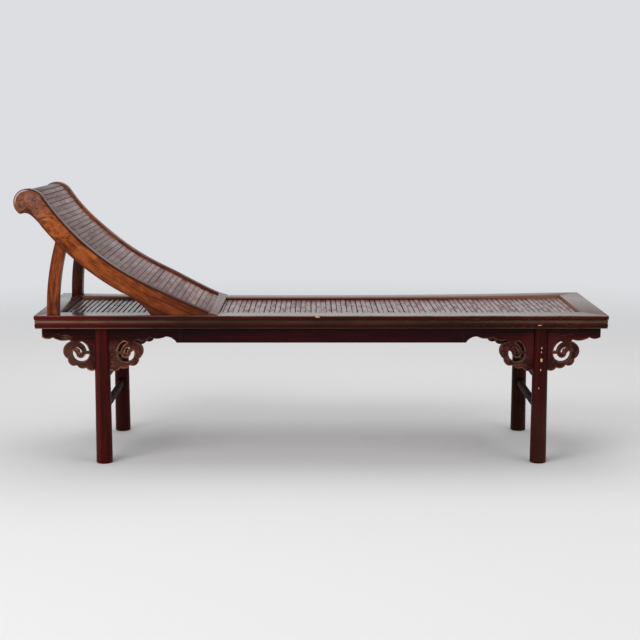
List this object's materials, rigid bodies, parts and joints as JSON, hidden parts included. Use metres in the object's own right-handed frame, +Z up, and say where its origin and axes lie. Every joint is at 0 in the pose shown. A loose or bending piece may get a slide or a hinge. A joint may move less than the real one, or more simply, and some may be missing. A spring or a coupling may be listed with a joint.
{
  "type": "bamboo lounge chair",
  "caption": "Wooden daybed with round recessed legs, pierced scroll aprons, a crosswise bamboo slat seat and a fixed curved slat headrest, for lying or leaning back.",
  "frame": {"origin": "middle of the overall length and width, on the floor", "axes": "+X towards the foot end, the headrest is at -X; +Y towards the back; +Z up"},
  "size_m": [1.956, 0.58, 0.9258],
  "materials": {
    "frame_wood": "worn dark red-brown lacquer",
    "leg_wood": "worn oxblood lacquer",
    "carved_wood": "worn oxblood lacquer, lighter on the carved edges",
    "headrest_wood": "polished orange-brown grain",
    "bamboo": "aged grey-brown bamboo with a soft sheen",
    "hidden_wood": "bare brown wood under the seat"
  },
  "bodies": {
    "root": {"back_apron": "carved_wood", "back_rail": "frame_wood", "foot_back_inner_scroll": "carved_wood", "foot_back_leg": "leg_wood", "foot_back_outer_scroll": "carved_wood", "foot_end_apron": "carved_wood", "foot_end_rail": "frame_wood", "foot_front_inner_scroll": "carved_wood", "foot_front_leg": "leg_wood", "foot_front_outer_scroll": "carved_wood", "foot_lower_stretcher": "leg_wood", "foot_upper_stretcher": "leg_wood", "front_apron": "carved_wood", "front_rail": "frame_wood", "head_back_inner_scroll": "carved_wood", "head_back_leg": "leg_wood", "head_back_outer_scroll": "carved_wood", "head_end_apron": "carved_wood", "head_end_rail": "frame_wood", "head_front_inner_scroll": "carved_wood", "head_front_leg": "leg_wood", "head_front_outer_scroll": "carved_wood", "head_lower_stretcher": "leg_wood", "head_upper_stretcher": "leg_wood", "headrest_back_post": "headrest_wood", "headrest_back_side_rail": "headrest_wood", "headrest_foot_board": "headrest_wood", "headrest_front_post": "headrest_wood", "headrest_front_side_rail": "headrest_wood", "headrest_lower_batten": "headrest_wood", "headrest_slats_1": "bamboo", "headrest_slats_2": "bamboo", "headrest_slats_3": "bamboo", "headrest_top_rail": "headrest_wood", "headrest_upper_batten": "headrest_wood", "seat_bearer_1": "hidden_wood", "seat_bearer_2": "hidden_wood", "seat_bearer_3": "hidden_wood", "seat_bearer_4": "hidden_wood", "seat_slats_1": "bamboo", "seat_slats_2": "bamboo", "seat_slats_3": "bamboo", "seat_slats_4": "bamboo", "seat_slats_5": "bamboo", "seat_slats_6": "bamboo", "seat_slats_7": "bamboo", "seat_stringer_back": "hidden_wood", "seat_stringer_front": "hidden_wood"}
  },
  "joints": []
}
